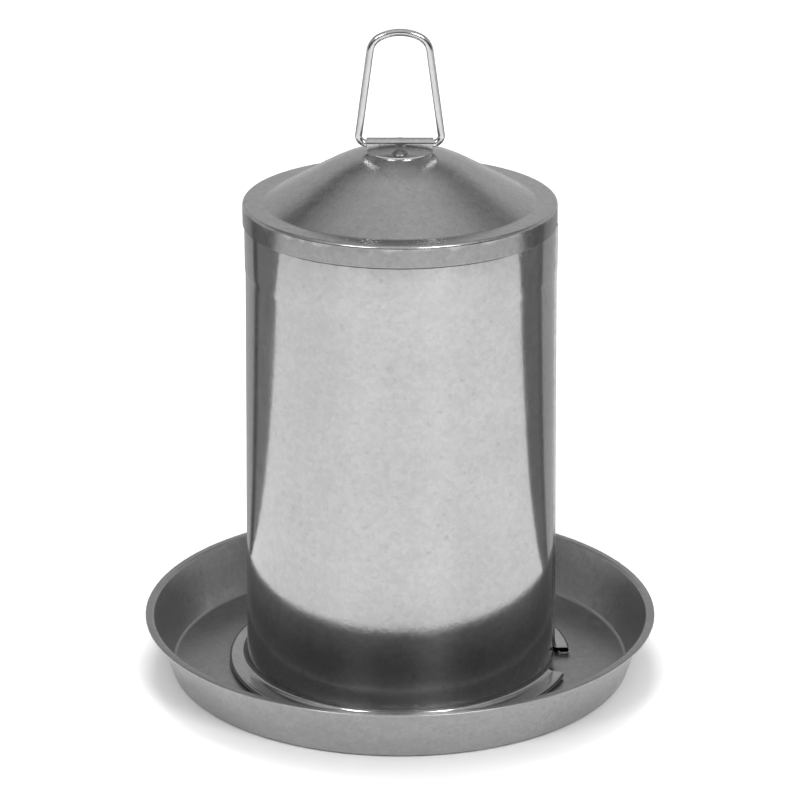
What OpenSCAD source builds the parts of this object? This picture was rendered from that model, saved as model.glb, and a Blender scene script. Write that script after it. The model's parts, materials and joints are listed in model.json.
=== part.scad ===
// Poultry waterer fount: a galvanised siphon drinker that stands in a round drinking pan.
// Frame: mm, +Z up, origin at the middle of the pan's underside, the drinking-water port on the +X side.
// The fount is drawn set down in the pan, with the pan's clips standing in the gaps of its foot flange.

/* [Fount] */
// Outer diameter of the fount wall just above the foot flange
wall_bottom_d = 204.4; // [198:0.2:206]
// Outer diameter of the fount wall just below the swaged band
wall_top_d = 198.6; // [196:0.2:199.4]
// Height of the flat ledge of the top above the table
ledge_z = 319.4; // [260:1:360]
// Height of the crown of the top above the table
crown_z = 354; // [340:0.5:362]
// Slope of the cone between the crown and the ledge, in degrees
cone_slope = 29.5; // [26:0.5:32]
// Thickness of the galvanised sheet
sheet_t = 0.6; // [0.5:0.05:0.8]
// Outer diameter over the hollow roll round the foot
roll_d = 228; // [226:0.2:229]
// Width of the hollow roll
roll_w = 8; // [7:0.1:8.5]
// Height of the hollow roll
roll_h = 4.4; // [4:0.1:4.8]
// Length of the skirt that folds down over the top of the wall
skirt_h = 14; // [11:0.2:20]

/* [Pan] */
// Outer diameter of the pan's flat hemmed lip
lip_d = 338.6; // [330:0.2:350]
// Diameter at which the pan's side wall would meet the table
base_d = 304; // [298:0.5:310]
// Height of the lip above the table
pan_h = 36.8; // [30:0.2:42]
// Width of the flat lip
lip_w = 4.8; // [4.6:0.1:7]

/* [Bail] */
// Diameter of the bail wire
wire_d = 4.6; // [4:0.1:4.8]
// Height of the top of the bail above the table, standing upright
bail_top_z = 430.8; // [420:0.2:440]
// Widest distance between the outer sides of the bail
bail_w = 57; // [54:0.5:60]

/* [Bayonet and water port] */
// Angular width of each gap in the foot roll, in degrees
gap_angle = 21; // [18:0.5:24]
// Angular width of each clip, in degrees
clip_angle = 15; // [12:0.5:16]
// Half width of the arched water port in the wall
port_r = 10.7; // [8:0.1:12]
// Direction of the water port, in degrees from +X
port_az = 1; // [0:0.5:2]
// Direction of the gap in the foot roll beside the water port, in degrees from +X
port_gap_az = -8; // [-9:0.5:-6]

/* [Hidden] */
$fn = 96;
half_t = sheet_t / 2;
wall_low_r = wall_bottom_d / 2 - half_t;
wall_high_r = wall_top_d / 2 - half_t;
// foot of the fount: the wall flares out above the pan's floor, then curls down and back into a hollow roll
seat_gap = 0.05;
foot_z = sheet_t + seat_gap + half_t;
foot_fillet = 4.5;
curl_r = (roll_h - sheet_t) / 2;
curl_z = foot_z + curl_r;
curl_out_r = roll_d / 2 - half_t - curl_r;
curl_in_r = roll_d / 2 - roll_w + half_t + curl_r;
curl_end = 200;
roll_top_z = foot_z + 2 * curl_r;
foot_arc_z = roll_top_z + foot_fillet;
// swaged band below the skirt and the neck that the skirt covers
band_low_z = 272;
band_rise = 5;
band_out = 0.4;
skirt_low_z = ledge_z - skirt_h;
neck_in = 0.9;
neck_rise = 3;
wall_top_z = ledge_z - 2.5;
// top
shoulder_r = 100.7 - half_t;
shoulder_fillet = 1.7;
dome_r = 98;
ledge_fillet = 4;
// lock seam of the wall, which runs down to the water port
seam_az = -2;
seam_angle = 2.8;
seam_h = 1.5;
seam_foot_gap = 1.3;
seam_low_z = foot_arc_z + seam_foot_gap;
seam_skirt_gap = 1.5;
// pan
flare = atan((lip_d / 2 - lip_w - base_d / 2) / pan_h);
pan_corner = 3.2;
pan_bend = 1.8;
hem_r = 0.5;
hem_back = 3.2;
wall_foot_r = base_d / 2 - half_t / cos(flare);
// clips on the pan floor
clip_az = [90, 270];
clip_t = 1;
clip_in_r = 106.5;
clip_riser_r = 115;
clip_out_r = 126;
clip_top_z = 6.6;
clip_rivet_az = 4.5;
clip_rivet_r = 120.8;
clip_shank_r = 1.5;
clip_head_r = 2.8;
clip_head_h = 1.3;
rivet_gap = 0.1;
gap_in_r = 103.3;
port_in_r = 90;
port_out_r = gap_in_r + 0.4;
// hanger plate, its rivets and the bail
plate_r = 21.2;
plate_t = 1;
wire_r = wire_d / 2;
wire_gap = 0.3;
hinge_z = crown_z + wire_gap + wire_r;
channel_in_r = wire_r + wire_gap;
channel_out_r = channel_in_r + plate_t;
hanger_rivet_y = 14;
hanger_tilt = asin(hanger_rivet_y / dome_r);
hanger_shank_r = 2;
hanger_head_r = 4.9;
hanger_head_h = 2.5;
hole_reach = 5;
seal_r = 5.5;
seal_t = 1;
bail_low_r = 5;
bail_side_r = 11.6;
bail_crest_r = 28;
bail_crest_angle = 26.5;
// bail centres and the lean of its legs
bail_low_x = bail_w / 2 - wire_r - bail_low_r;
bail_low_z = hinge_z + bail_low_r;
bail_crest_z = bail_top_z - wire_r - bail_crest_r;
bail_side_x = (bail_crest_r - bail_side_r) * sin(bail_crest_angle);
bail_side_z = bail_crest_z + (bail_crest_r - bail_side_r) * cos(bail_crest_angle);
bail_dx = bail_low_x - bail_side_x;
bail_dz = bail_side_z - bail_low_z;
bail_span = norm([bail_dx, bail_dz]);
bail_lean = atan(bail_dx / bail_dz) - asin((bail_side_r - bail_low_r) / bail_span);
leg_len = sqrt(bail_span * bail_span - pow(bail_side_r - bail_low_r, 2));
steel = [0.74, 0.75, 0.77];
bright = [0.84, 0.85, 0.86];
dark = [0.35, 0.35, 0.37];
soft = [0.2, 0.2, 0.2];

// Points of a sheet's middle line are [r, z, nr, nz]: a place and the direction that one skin faces.
// An arc's skin faces away from its centre for side = 1, and towards it for side = -1.
function bend(cr, cz, r, a0, a1, side, n) =
    [for (i = [0:n])
        let (a = a0 + (a1 - a0) * i / n)
        [cr + r * cos(a), cz + r * sin(a), side * cos(a), side * sin(a)]];

// One skin of a sheet, at distance d from its middle line.
function skin(path, d) = [for (p = path) [p[0] + p[2] * d, p[1] + p[3] * d]];

function backwards(list) = [for (i = [len(list) - 1:-1:0]) list[i]];

function sheet_outline(path, t) = concat(skin(path, t / 2), backwards(skin(path, -t / 2)));

// Middle line radius of the tapered wall at height z.
function wall_r(z) =
    wall_low_r + (wall_high_r - wall_low_r) * (z - foot_z) / (band_low_z - foot_z);

// A smooth step from radius a to radius b between two heights.
function ease(a, b, z0, z1, n) =
    [for (i = [0:n]) [a + (b - a) * (1 - cos(180 * i / n)) / 2, z0 + (z1 - z0) * i / n, 1, 0]];

band_r = wall_high_r + band_out;
neck_r = wall_high_r - neck_in + band_out;
foot_arc_r = wall_r(foot_arc_z) + foot_fillet;
wall_rise = concat(
    ease(wall_high_r, band_r, band_low_z, band_low_z + band_rise, 6),
    ease(band_r, neck_r, skirt_low_z - neck_rise / 3, skirt_low_z + neck_rise * 2 / 3, 4),
    [[neck_r, wall_top_z, 1, 0]]);
wall_path = concat(
    bend(curl_in_r, curl_z, curl_r, curl_end, 270, 1, 8),
    bend(curl_out_r, curl_z, curl_r, -90, 90, 1, 18),
    bend(foot_arc_r, foot_arc_z, foot_fillet, 270, 180, -1, 12),
    wall_rise);

// A slice of angle w degrees, centred on direction az, of the solid that an outline sweeps.
module slice(az, w) {
    rotate([0, 0, az - w / 2])
        rotate_extrude(angle = w)
            children();
}

module fount_wall() {
    color(steel)
        difference() {
            union() {
                rotate_extrude()
                    polygon(sheet_outline(wall_path, sheet_t));
                slice(seam_az, seam_angle)
                    polygon([
                        [wall_r(seam_low_z), seam_low_z],
                        [wall_r(seam_low_z) + half_t + seam_h, seam_low_z],
                        [wall_high_r + half_t + seam_h, band_low_z],
                        [band_r + half_t + seam_h, band_low_z + band_rise],
                        [band_r + half_t + seam_h, skirt_low_z - seam_skirt_gap],
                        [band_r, skirt_low_z - seam_skirt_gap],
                        [band_r, band_low_z + band_rise],
                        [wall_high_r, band_low_z]
                    ]);
            }
            for (az = concat(clip_az, port_gap_az))
                slice(az, gap_angle)
                    translate([gap_in_r, 0])
                        square([roll_d / 2 - gap_in_r + 1, foot_arc_z]);
            rotate([0, 0, port_az])
                translate([port_in_r, 0, foot_z])
                    rotate([0, 90, 0])
                        cylinder(r = port_r, h = port_out_r - port_in_r);
        }
}

// Middle line of the top: crown, cone, fillet, flat ledge, folded shoulder and skirt.
dome_centre_z = crown_z - dome_r;
dome_mid_r = dome_r - half_t;
ledge_mid_z = ledge_z - half_t;
cone_mid_r0 = dome_mid_r * sin(cone_slope);
cone_mid_z0 = dome_centre_z + dome_mid_r * cos(cone_slope);
fillet_start_z = ledge_mid_z + ledge_fillet * (1 - cos(cone_slope));
fillet_r = cone_mid_r0 + (cone_mid_z0 - fillet_start_z) / tan(cone_slope) + ledge_fillet * sin(cone_slope);
top_path = concat(
    bend(0, dome_centre_z, dome_mid_r, 90, 90 - cone_slope, 1, 20),
    bend(fillet_r, ledge_mid_z + ledge_fillet, ledge_fillet, 270 - cone_slope, 270, -1, 7),
    bend(shoulder_r - shoulder_fillet, ledge_mid_z - shoulder_fillet, shoulder_fillet, 90, 0, 1, 10),
    [[shoulder_r, skirt_low_z, 1, 0]]);

// The rivets stand square to the crown, so their work is done about the centre of the crown's sphere.
module at_hanger_rivet(side) {
    translate([0, 0, dome_centre_z])
        rotate([-side * hanger_tilt, 0, 0])
            children();
}

module hanger_holes() {
    for (side = [-1, 1])
        at_hanger_rivet(side)
            translate([0, 0, dome_r - hole_reach])
                cylinder(r = hanger_shank_r + rivet_gap, h = 2 * hole_reach);
}

module top_cone() {
    color(steel)
        difference() {
            rotate_extrude()
                polygon(sheet_outline(top_path, sheet_t));
            hanger_holes();
        }
}

// The seal lies between the top edge of the wall and the underside of the ledge.
seal_w = 1.4;
seal_clear = 0.3;

module seam_seal() {
    color(soft)
        rotate_extrude()
            translate([neck_r + seal_clear - seal_w, wall_top_z + seal_clear])
                square([seal_w, ledge_z - sheet_t - wall_top_z - 2 * seal_clear]);
}

// The plate is a round of sheet that lies on the crown, pressed up over the bail along X.
plate_slope = 20;
plate_gap = 0.02;
plate_mid_r = dome_r + plate_gap + plate_t / 2;
plate_path = bend(0, dome_centre_z, plate_mid_r, 90, 90 - plate_slope, 1, 14);

module hanger_plate() {
    channel_low_z = dome_centre_z + dome_r * cos(plate_slope);
    cut_low_z = channel_low_z - plate_r;
    color(bright)
        difference() {
            intersection() {
                union() {
                    rotate_extrude()
                        polygon(sheet_outline(plate_path, plate_t));
                    translate([-plate_r - 1, 0, hinge_z])
                        rotate([0, 90, 0])
                            cylinder(r = channel_out_r, h = 2 * plate_r + 2);
                    translate([-plate_r - 1, -channel_out_r, channel_low_z])
                        cube([2 * plate_r + 2, 2 * channel_out_r, hinge_z - channel_low_z]);
                }
                translate([0, 0, cut_low_z])
                    cylinder(r = plate_r, h = 3 * plate_r);
            }
            // the space under the plate
            rotate_extrude()
                polygon(concat([[0, cut_low_z]], skin(plate_path, -plate_t / 2), [[1.5 * plate_r, cut_low_z]]));
            translate([-plate_r - 2, 0, hinge_z])
                rotate([0, 90, 0])
                    cylinder(r = channel_in_r, h = 2 * plate_r + 4);
            translate([-plate_r - 2, -channel_in_r, cut_low_z])
                cube([2 * plate_r + 4, 2 * channel_in_r, hinge_z - cut_low_z]);
            hanger_holes();
        }
}

module domed_head(r, h) {
    ball = (r * r + h * h) / (2 * h);
    intersection() {
        translate([0, 0, h - ball])
            rotate_extrude()
                intersection() {
                    circle(r = ball);
                    translate([0, -ball])
                        square([ball, 2 * ball]);
                }
        cylinder(r = r, h = h + 1);
    }
}

// Distances from the centre of the crown's sphere: the seat of the head and the two faces of the seal.
head_seat = dome_r + plate_t + 2 * plate_gap;
seal_top = sqrt(pow(dome_r - sheet_t, 2) - seal_r * seal_r) - seat_gap;
clench_r = hanger_shank_r * 1.8;
clench_h = 1.2;

module hanger_rivet(side) {
    color(dark)
        at_hanger_rivet(side) {
            translate([0, 0, head_seat])
                domed_head(hanger_head_r, hanger_head_h);
            translate([0, 0, seal_top - seal_t - seat_gap - clench_h])
                cylinder(r = clench_r, h = clench_h);
            translate([0, 0, seal_top - seal_t - clench_h])
                cylinder(r = hanger_shank_r, h = head_seat + hanger_head_h / 2 - seal_top + seal_t + clench_h);
        }
}

module hanger_rivet_front() {
    hanger_rivet(-1);
}

module hanger_rivet_back() {
    hanger_rivet(1);
}

module rivet_seal(side) {
    color(soft)
        at_hanger_rivet(side)
            translate([0, 0, seal_top - seal_t])
                difference() {
                    cylinder(r = seal_r, h = seal_t);
                    translate([0, 0, -1])
                        cylinder(r = hanger_shank_r + rivet_gap, h = seal_t + 2);
                }
}

module rivet_seal_front() {
    rivet_seal(-1);
}

module rivet_seal_back() {
    rivet_seal(1);
}

// A bent length of wire in the XZ plane, from angle a0 to a1 about (x, z).
module wire_arc(x, z, r, a0, a1, thick) {
    translate([x, 0, z])
        rotate([90, 0, 0])
            rotate([0, 0, a0])
                rotate_extrude(angle = a1 - a0)
                    translate([r, 0])
                        circle(r = thick);
}

// The bends are a hair thicker than the lengths between them, whose ends run a little way into the bends.
bend_swell = 0.02;
run_in = 0.3;
bend_wire_r = wire_r + bend_swell;
crest_half = bail_crest_angle + asin(run_in / bail_crest_r);

module bail() {
    $fn = 48;
    color(bright)
        union() {
            translate([-bail_low_x - run_in, 0, hinge_z])
                rotate([0, 90, 0])
                    cylinder(r = wire_r, h = 2 * (bail_low_x + run_in));
            wire_arc(0, bail_crest_z, bail_crest_r, 90 - crest_half, 90 + crest_half, wire_r);
            for (side = [0, 1])
                mirror([side, 0, 0]) {
                    wire_arc(bail_low_x, bail_low_z, bail_low_r, -90, bail_lean, bend_wire_r);
                    translate([
                        bail_low_x + bail_low_r * cos(bail_lean),
                        0,
                        bail_low_z + bail_low_r * sin(bail_lean)
                    ])
                        rotate([0, -bail_lean, 0])
                            translate([0, 0, -run_in])
                                cylinder(r = wire_r, h = leg_len + 2 * run_in);
                    wire_arc(bail_side_x, bail_side_z, bail_side_r, bail_lean, 90 - bail_crest_angle, bend_wire_r);
                }
        }
}

// Pan: floor, corner, flared side, turned-out lip and the hem folded back under it.
corner_z = half_t + pan_corner;
corner_r = wall_foot_r + (corner_z - pan_corner * sin(flare)) * tan(flare) - pan_corner * cos(flare);
bend_z = pan_h - half_t - pan_bend;
bend_r = wall_foot_r + (bend_z + pan_bend * sin(flare)) * tan(flare) + pan_bend * cos(flare);
hem_c_r = lip_d / 2 - hem_r - half_t;
hem_z = pan_h - half_t - hem_r;
pan_path = concat(
    [[0, half_t, 0, -1]],
    bend(corner_r, corner_z, pan_corner, -90, -flare, 1, 8),
    bend(bend_r, bend_z, pan_bend, 180 - flare, 90, -1, 7),
    bend(hem_c_r, hem_z, hem_r, 90, -90, -1, 10),
    [[hem_c_r - hem_back, hem_z - hem_r, 0, 1]]);

module at_clip_rivets() {
    for (az = clip_az)
        for (side = [-1, 1])
            rotate([0, 0, az + side * clip_rivet_az])
                translate([clip_rivet_r, 0, 0])
                    children();
}

module pan_dish() {
    color(steel)
        difference() {
            rotate_extrude()
                polygon(sheet_outline(pan_path, sheet_t));
            at_clip_rivets()
                translate([0, 0, -1])
                    cylinder(r = clip_shank_r + rivet_gap, h = 3);
        }
}

module bayonet_clip(i) {
    foot = sheet_t;
    color(bright)
        difference() {
            slice(clip_az[i], clip_angle)
                polygon([
                    [clip_out_r, foot],
                    [clip_out_r, foot + clip_t],
                    [clip_riser_r + clip_t, foot + clip_t],
                    [clip_riser_r + clip_t, clip_top_z],
                    [clip_in_r, clip_top_z],
                    [clip_in_r, clip_top_z - clip_t],
                    [clip_riser_r, clip_top_z - clip_t],
                    [clip_riser_r, foot]
                ]);
            at_clip_rivets()
                cylinder(r = clip_shank_r + rivet_gap, h = 4);
        }
}

module bayonet_clip_back() {
    bayonet_clip(0);
}

module bayonet_clip_front() {
    bayonet_clip(1);
}

module clip_rivet(i, side) {
    color(dark)
        rotate([0, 0, clip_az[i] + side * clip_rivet_az])
            translate([clip_rivet_r, 0, 0]) {
                cylinder(r = clip_shank_r, h = sheet_t + clip_t + 0.5);
                translate([0, 0, sheet_t + clip_t])
                    domed_head(clip_head_r, clip_head_h);
            }
}

module clip_rivet_1() {
    clip_rivet(0, -1);
}

module clip_rivet_2() {
    clip_rivet(0, 1);
}

module clip_rivet_3() {
    clip_rivet(1, -1);
}

module clip_rivet_4() {
    clip_rivet(1, 1);
}

pan_dish();
bayonet_clip_back();
bayonet_clip_front();
clip_rivet_1();
clip_rivet_2();
clip_rivet_3();
clip_rivet_4();
seam_seal();
fount_wall();
top_cone();
hanger_plate();
hanger_rivet_front();
hanger_rivet_back();
rivet_seal_front();
rivet_seal_back();
bail();
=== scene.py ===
import bpy
import json
import math
import numpy as np
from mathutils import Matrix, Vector


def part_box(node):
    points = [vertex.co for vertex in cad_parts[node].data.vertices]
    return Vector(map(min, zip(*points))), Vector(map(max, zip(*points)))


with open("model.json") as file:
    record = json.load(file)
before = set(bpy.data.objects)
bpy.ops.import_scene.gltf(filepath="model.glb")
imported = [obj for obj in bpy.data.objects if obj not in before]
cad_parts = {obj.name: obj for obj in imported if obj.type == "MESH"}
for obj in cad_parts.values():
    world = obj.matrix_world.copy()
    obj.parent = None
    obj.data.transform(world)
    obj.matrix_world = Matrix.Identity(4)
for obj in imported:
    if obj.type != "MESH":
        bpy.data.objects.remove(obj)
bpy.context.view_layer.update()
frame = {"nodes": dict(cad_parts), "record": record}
NODES = frame["nodes"]
SCENE = bpy.context.scene
MM = 0.001

# Nearly all of a noise's values lie between these two.
NOISE_LOW, NOISE_HIGH = 0.3, 0.7


# ---------------------------------------------------------------- node helpers
class Shade:
    """A material's node tree, built with short calls."""

    def __init__(self, name):
        self.mat = bpy.data.materials.new(name)
        self.mat.use_nodes = True
        self.tree = self.mat.node_tree
        self.tree.nodes.clear()
        self.out = self.tree.nodes.new("ShaderNodeOutputMaterial")
        self.coords = self.tree.nodes.new("ShaderNodeTexCoord").outputs["Object"]

    def link(self, a, b):
        self.tree.links.new(a, b)

    def put(self, socket, value):
        if hasattr(value, "links"):
            self.link(value, socket)
        else:
            socket.default_value = value

    def node(self, kind, **props):
        n = self.tree.nodes.new(kind)
        for k, v in props.items():
            setattr(n, k, v)
        return n

    def stretched(self, scale):
        n = self.node("ShaderNodeMapping")
        n.inputs["Scale"].default_value = scale
        self.link(self.coords, n.inputs["Vector"])
        return n.outputs["Vector"]

    def noise(self, scale, detail=2.0, rough=0.5, vector=None):
        n = self.node("ShaderNodeTexNoise")
        self.link(vector or self.coords, n.inputs["Vector"])
        n.inputs["Scale"].default_value = scale
        n.inputs["Detail"].default_value = detail
        n.inputs["Roughness"].default_value = rough
        return n.outputs["Fac"]

    def math(self, op, a, b):
        n = self.node("ShaderNodeMath", operation=op)
        self.put(n.inputs[0], a)
        self.put(n.inputs[1], b)
        return n.outputs[0]

    def times(self, value, *factors):
        for factor in factors:
            value = self.math("MULTIPLY", value, factor)
        return value

    def remap(self, value, a, b, c, d, smooth=False):
        kind = "SMOOTHSTEP" if smooth else "LINEAR"
        n = self.node("ShaderNodeMapRange", interpolation_type=kind)
        self.put(n.inputs["Value"], value)
        for k, v in zip(("From Min", "From Max", "To Min", "To Max"), (a, b, c, d)):
            n.inputs[k].default_value = v
        return n.outputs["Result"]

    def vary(self, noise, low, high):
        """Spread a noise from low to high."""
        return self.remap(noise, NOISE_LOW, NOISE_HIGH, low, high)

    def grey(self, value):
        n = self.node("ShaderNodeCombineColor")
        for k in ("Red", "Green", "Blue"):
            self.put(n.inputs[k], value)
        return n.outputs["Color"]

    def bump(self, height, strength, distance, under=None):
        n = self.node("ShaderNodeBump")
        n.inputs["Strength"].default_value = strength
        n.inputs["Distance"].default_value = distance
        self.link(height, n.inputs["Height"])
        if under is not None:
            self.link(under, n.inputs["Normal"])
        return n.outputs["Normal"]

    def axis(self, name):
        n = self.node("ShaderNodeSeparateXYZ")
        self.link(self.coords, n.inputs[0])
        return n.outputs[name]

    def smear(self, color, normal, share):
        """Mix in the upright streaks that sheet with rolling marks round it gives a light."""
        tangent = self.node("ShaderNodeTangent", direction_type="RADIAL", axis="Z")
        g = self.node("ShaderNodeBsdfAnisotropic")
        self.link(color, g.inputs["Color"])
        self.link(normal, g.inputs["Normal"])
        self.link(tangent.outputs[0], g.inputs["Tangent"])
        g.inputs["Roughness"].default_value = 0.35
        g.inputs["Anisotropy"].default_value = 0.6
        mix = self.node("ShaderNodeMixShader")
        mix.inputs[0].default_value = share
        self.link(self.out.inputs["Surface"].links[0].from_socket, mix.inputs[1])
        self.link(g.outputs[0], mix.inputs[2])
        self.link(mix.outputs[0], self.out.inputs["Surface"])

    def finish(self, color, rough, metallic=1.0, normal=None):
        p = self.node("ShaderNodeBsdfPrincipled")
        self.put(p.inputs["Base Color"], color)
        self.put(p.inputs["Roughness"], rough)
        p.inputs["Metallic"].default_value = metallic
        if normal is not None:
            self.link(normal, p.inputs["Normal"])
        self.link(p.outputs["BSDF"], self.out.inputs["Surface"])
        return self.mat


# ---------------------------------------------------------------- materials
# How often each pattern of the galvanised sheet, and the ragged edge of its painted shade band,
# repeats in a metre.
CRYSTALS, CRYSTAL_EDGES, SPECKS, SPOTS = 330.0, 190.0, 650.0, 210.0
CLOUDS, WAVES, SHADE_BAND_EDGE = 16.0, 9.0, 70.0
EDGE_SHIFT = 6 * MM
# How far crystals and specks each move the level, as a share of it.
SPANGLE = 0.045


def galvanised(name, level, rough, shade_band=None, haze=0.0):
    """Zinc-coated sheet: crystal patches, fine specks, a few dull spots and a faint waviness.

    The optional band is painted shade: the height where the sheet starts to darken, the height where
    it has darkened, and the share of its level that it then keeps.
    """
    s = Shade(name)
    jitter = s.node("ShaderNodeTexNoise")
    s.link(s.coords, jitter.inputs["Vector"])
    jitter.inputs["Scale"].default_value = CRYSTAL_EDGES
    shift = s.node("ShaderNodeVectorMath", operation="SCALE")
    s.link(jitter.outputs["Color"], shift.inputs[0])
    shift.inputs["Scale"].default_value = EDGE_SHIFT
    place = s.node("ShaderNodeVectorMath", operation="ADD")
    s.link(s.coords, place.inputs[0])
    s.link(shift.outputs[0], place.inputs[1])
    crystal = s.node("ShaderNodeTexVoronoi", feature="SMOOTH_F1")
    s.link(place.outputs[0], crystal.inputs["Vector"])
    crystal.inputs["Scale"].default_value = CRYSTALS
    crystal.inputs["Smoothness"].default_value = 0.35
    tone = s.node("ShaderNodeSeparateColor")
    s.link(crystal.outputs["Color"], tone.inputs[0])

    speck = s.noise(SPECKS, 2.0, 0.55)
    cloud = s.noise(CLOUDS, 4.0, 0.6)
    v = s.times(
        s.remap(tone.outputs["Red"], 0.1, 0.9, 1.0 - SPANGLE, 1.0 + SPANGLE),
        s.vary(speck, 1.0 - SPANGLE, 1.0 + SPANGLE),
        s.vary(cloud, 0.94, 1.06),
        s.remap(s.noise(SPOTS, 1.0, 0.5), 0.66, 0.74, 1.0, 0.90, smooth=True),
        level)
    # Painted shade under the ledge: the level falls off below a ragged line.
    if shade_band:
        start, end, kept = shade_band
        ragged_shade_line = s.math("ADD", s.axis("Z"), s.vary(s.noise(SHADE_BAND_EDGE, 3.0, 0.6), -2 * MM, 2 * MM))
        v = s.times(v, s.remap(ragged_shade_line, start, end, 1.0, kept, smooth=True))
    r = s.remap(tone.outputs["Green"], 0.0, 1.0, rough * 0.85, rough * 1.15)
    r = s.math("ADD", r, s.vary(cloud, -0.02, 0.03))
    wave = s.noise(WAVES, 2.0, 0.4, s.stretched((1.0, 1.0, 0.55)))
    n = s.bump(wave, 0.10, 4 * MM)
    n = s.bump(tone.outputs["Blue"], 0.04, 0.3 * MM, n)
    n = s.bump(speck, 0.08, 0.2 * MM, n)
    color = s.grey(v)
    s.finish(color, r, normal=n)
    if haze:
        s.smear(color, n, haze)
    return s.mat


def plated(name, level, rough):
    """Smooth plated steel with faint marks."""
    s = Shade(name)
    marks = s.noise(420.0, 3.0, 0.6)
    cloud = s.noise(60.0, 2.0, 0.5)
    v = s.times(s.vary(marks, 0.94, 1.06), level, s.vary(cloud, 0.94, 1.05))
    r = s.vary(cloud, rough * 0.8, rough * 1.3)
    return s.finish(s.grey(v), r, normal=s.bump(marks, 0.08, 0.2 * MM))


def dull(name, level, rough, metallic):
    """Matt metal or rubber with a slightly uneven skin."""
    s = Shade(name)
    cloud = s.noise(300.0, 3.0, 0.6)
    v = s.times(s.vary(cloud, 0.85, 1.12), level)
    n = s.bump(cloud, 0.15, 0.3 * MM)
    return s.finish(s.grey(v), rough, metallic=metallic, normal=n)


# The ledge stands this far above the wall's top edge; the skirt below it gets painted shade, a
# darker band under the ledge.
LEDGE_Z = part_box("fount_wall")[1][2] + 2.5 * MM
SKIRT_SHADE_BAND = (LEDGE_Z - 1 * MM, LEDGE_Z - 4 * MM, 0.66)

MATERIALS = {
    "fount_sheet": galvanised("fount_sheet", 0.41, 0.12, haze=0.16),
    "top_sheet": galvanised("top_sheet", 0.40, 0.23, shade_band=SKIRT_SHADE_BAND),
    "pan_sheet": galvanised("pan_sheet", 0.36, 0.34),
    "plated_sheet": plated("plated_sheet", 0.5, 0.2),
    "bail_wire": plated("bail_wire", 0.52, 0.14),
    "rivets": dull("rivets", 0.2, 0.35, 1.0),
    "seals": dull("seals", 0.05, 0.7, 0.0),
}
SLOT_OF = {s["node"]: s["material_slot"] for s in frame["record"]["subparts"]}

# Faces that meet at less than SMOOTH_BELOW degrees are shaded as one. Points that round to
# the same multiple of SAME_PLACE, in metres, are one place.
SMOOTH_BELOW = 24.0
SAME_PLACE = 2e-6


def soften(obj):
    """Turn the shading normals at each place to the mean of those that point nearly the same way."""
    mesh = obj.data
    corners = len(mesh.loops)
    normals = np.zeros(corners * 3, np.float32)
    mesh.corner_normals.foreach_get("vector", normals)
    normals = normals.reshape(-1, 3)
    places = np.zeros(len(mesh.vertices) * 3, np.float32)
    mesh.vertices.foreach_get("co", places)
    index = np.zeros(corners, np.int32)
    mesh.loops.foreach_get("vertex_index", index)
    key = np.round(places.reshape(-1, 3)[index] / SAME_PLACE).astype(np.int64)
    order = np.lexsort((key[:, 2], key[:, 1], key[:, 0]))
    same = np.all(key[order][1:] == key[order][:-1], axis=1)
    starts = np.r_[0, np.nonzero(~same)[0] + 1, corners]
    out = normals.copy()
    near = math.cos(math.radians(SMOOTH_BELOW))
    for a, b in zip(starts[:-1], starts[1:]):
        if b - a < 2:
            continue
        ids = order[a:b]
        n = normals[ids]
        close = (n @ n.T) > near
        if close.all() and np.allclose(n, n[0], atol=1e-5):
            continue
        m = close.astype(np.float32) @ n
        out[ids] = m / np.maximum(np.linalg.norm(m, axis=1, keepdims=True), 1e-9)
    mesh.normals_split_custom_set([Vector(v) for v in out])


for name, obj in NODES.items():
    obj.data.materials.clear()
    obj.data.materials.append(MATERIALS[SLOT_OF[name]])
    for p in obj.data.polygons:
        p.material_index = 0
    soften(obj)

# ---------------------------------------------------------------- studio
FLOOR_Z = -0.2 * MM
FLOOR_HALF = 5.0
# The cards lie just above the floor, behind the object, and only the steel sees them. Each is
# name: (side, first and last azimuth, level), and side -1 is the left.
CARD_Z = 0.4 * MM
CARD_FAR = 3.0
# How far behind the object's axis the cards begin on each side.
BACK_LINE = {-1: 0.15, 1: 0.095}
CARDS = {
    "floor_left": (-1, 92, 124, 0.30),
    "floor_left_edge": (-1, 124, 132, 0.10),
    "floor_left_back": (-1, 132, 180, 0.50),
    "floor_right": (1, 92, 118, 0.24),
    "floor_right_edge": (1, 118, 125, 0.17),
    "floor_right_back": (1, 125, 180, 0.50),
}
# name: (place, aim, width, height, power, seen in reflections)
LIGHTS = {
    "overhead": ((0, 1.2, 3.4), (0, 1.2, 0), 7.0, 7.0, 92.0, False),
    "behind": ((-0.15, 1.1, 2.4), (0, 0, 0), 1.1, 1.1, 34.0, False),
    "key_right": ((1.17, -2.11, 2.1), (0, 0, 0.2), 0.9, 0.6, 36.0, True),
    "key_left": ((-1.35, -2.0, 2.1), (0, 0, 0.2), 0.9, 0.6, 24.0, True),
}


def flat_piece(name, points, material):
    mesh = bpy.data.meshes.new(name)
    mesh.from_pydata([Vector(p) for p in points], [], [tuple(range(len(points)))])
    mesh.materials.append(material)
    o = bpy.data.objects.new(name, mesh)
    SCENE.collection.objects.link(o)
    return o


def floor_material():
    s = Shade("floor")
    return s.finish(s.grey(s.vary(s.noise(2.0), 0.86, 0.88)), 0.8, metallic=0.0)


def glow(name, level):
    s = Shade(name)
    e = s.node("ShaderNodeEmission")
    s.put(e.inputs["Color"], s.grey(s.vary(s.noise(3.0), level * 0.96, level * 1.04)))
    s.link(e.outputs["Emission"], s.out.inputs["Surface"])
    return s.mat


def polar(azimuth, distance):
    """A point at the cards' height; the azimuth is turned from the camera's side towards +X."""
    a = math.radians(azimuth)
    return (math.sin(a) * distance, -math.cos(a) * distance, CARD_Z)


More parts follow.
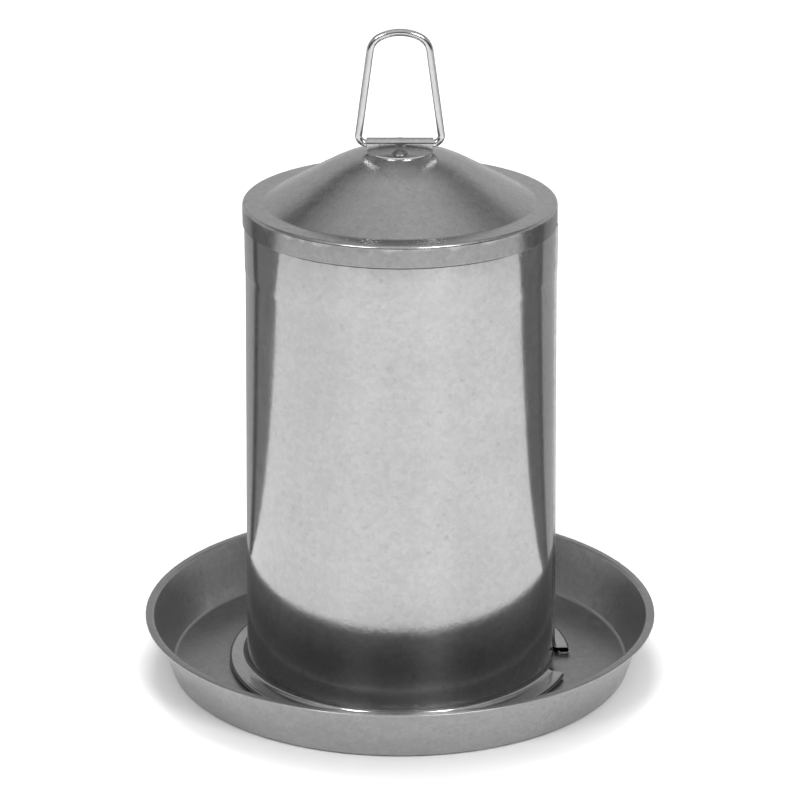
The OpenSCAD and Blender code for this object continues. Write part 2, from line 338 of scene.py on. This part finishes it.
def floor_card(name, side, near, far, level):
    """Dim floor behind the object between two azimuths, starting at that side's back line."""
    start, end = [BACK_LINE[side] / -math.cos(math.radians(a)) for a in (near, far)]
    ring = [polar(side * near, start), polar(side * near, CARD_FAR),
            polar(side * far, CARD_FAR), polar(side * far, end)]
    o = flat_piece(name, ring, glow(name, level))
    o.visible_camera = False
    o.visible_shadow = False
    o.visible_diffuse = False


def area_light(name, place, aim, width, height, power, mirrored):
    data = bpy.data.lights.new(name, "AREA")
    data.shape = "RECTANGLE"
    data.size, data.size_y, data.energy = width, height, power
    o = bpy.data.objects.new(name, data)
    SCENE.collection.objects.link(o)
    o.location = place
    o.rotation_mode = "QUATERNION"
    o.rotation_quaternion = (Vector(aim) - Vector(place)).to_track_quat("-Z", "Y")
    o.visible_glossy = mirrored


floor_corners = [(x * FLOOR_HALF, y * FLOOR_HALF, FLOOR_Z)
                 for x, y in ((-1, -1), (1, -1), (1, 1), (-1, 1))]
flat_piece("floor", floor_corners, floor_material())
for name, card in CARDS.items():
    floor_card(name, *card)
for name, light in LIGHTS.items():
    area_light(name, *light)

# The surroundings' grey level at heights above the horizon, in degrees: behind the object on
# the left and on the right, and in front of it.
BACK_LEFT = (
    (0, 0.66), (5, 0.58), (12, 0.58), (24, 0.64), (33, 0.52), (36, 0.12),
    (40, 0.10), (44, 0.30), (53, 0.48), (60, 0.62), (68, 0.72), (80, 0.78),
)
BACK_RIGHT = (
    (0, 0.70), (5, 0.62), (12, 0.62), (24, 0.68), (32, 0.56), (37, 0.27),
    (44, 0.26), (47, 0.32), (53, 0.46), (60, 0.62), (68, 0.74), (80, 0.80),
)
FRONT = ((0, 0.05), (12, 0.05), (24, 0.45), (40, 0.80), (80, 0.80))
# The Mix node's colour sockets, which share their names with its number and vector sockets.
COLOR_A, COLOR_B, COLOR_OUT = 6, 7, 2


def height_ramp(tree, height, levels):
    ramp = tree.nodes.new("ShaderNodeValToRGB")
    stops = ramp.color_ramp.elements
    while len(stops) < len(levels):
        stops.new(0.5)
    # Moving a stop can reorder them, so all are placed before any is coloured.
    for stop, (degrees, _) in zip(stops, levels):
        stop.position = math.sin(math.radians(degrees))
    for stop, (_, level) in zip(stops, levels):
        stop.color = (level, level, level, 1)
    tree.links.new(height, ramp.inputs["Fac"])
    return ramp.outputs["Color"]


def sky():
    """Levels of the surroundings in each direction, as the steel shows them."""
    world = bpy.data.worlds.new("studio")
    world.use_nodes = True
    tree = world.node_tree
    tree.nodes.clear()
    out = tree.nodes.new("ShaderNodeOutputWorld")
    background = tree.nodes.new("ShaderNodeBackground")
    where = tree.nodes.new("ShaderNodeTexCoord")
    split = tree.nodes.new("ShaderNodeSeparateXYZ")
    tree.links.new(where.outputs["Generated"], split.inputs[0])

    def blend(axis, low, high, one, two):
        share = tree.nodes.new("ShaderNodeMapRange")
        tree.links.new(split.outputs[axis], share.inputs["Value"])
        share.inputs["From Min"].default_value = low
        share.inputs["From Max"].default_value = high
        mix = tree.nodes.new("ShaderNodeMix")
        mix.data_type = "RGBA"
        tree.links.new(share.outputs["Result"], mix.inputs["Factor"])
        tree.links.new(one, mix.inputs[COLOR_A])
        tree.links.new(two, mix.inputs[COLOR_B])
        return mix.outputs[COLOR_OUT]

    height = split.outputs["Z"]
    left, right, front = [height_ramp(tree, height, v) for v in (BACK_LEFT, BACK_RIGHT, FRONT)]
    behind = blend("X", -0.1, 0.1, left, right)
    tree.links.new(blend("Y", -0.25, -0.05, front, behind), background.inputs["Color"])
    tree.links.new(background.outputs["Background"], out.inputs["Surface"])
    return world


SCENE.world = sky()
SCENE.view_settings.view_transform = "Standard"
SCENE.view_settings.look = "None"

# ---------------------------------------------------------------- camera
# Fitted to the photo's outlines: metres from the point aimed at, and that point's height.
DISTANCE, ELEVATION, AIM_Z = 2.19, math.radians(20.06), 0.1832
camera = bpy.data.cameras.new("camera")
camera.sensor_width = 36.0
camera.lens = 151.2
camera.clip_start, camera.clip_end = 0.05, 50.0
eye = bpy.data.objects.new("camera", camera)
SCENE.collection.objects.link(eye)
back = Vector((0, -math.cos(ELEVATION), math.sin(ELEVATION)))
eye.location = Vector((0, 0, AIM_Z)) + back * DISTANCE
eye.rotation_mode = "QUATERNION"
eye.rotation_quaternion = (-back).to_track_quat("-Z", "Y")
SCENE.camera = eye
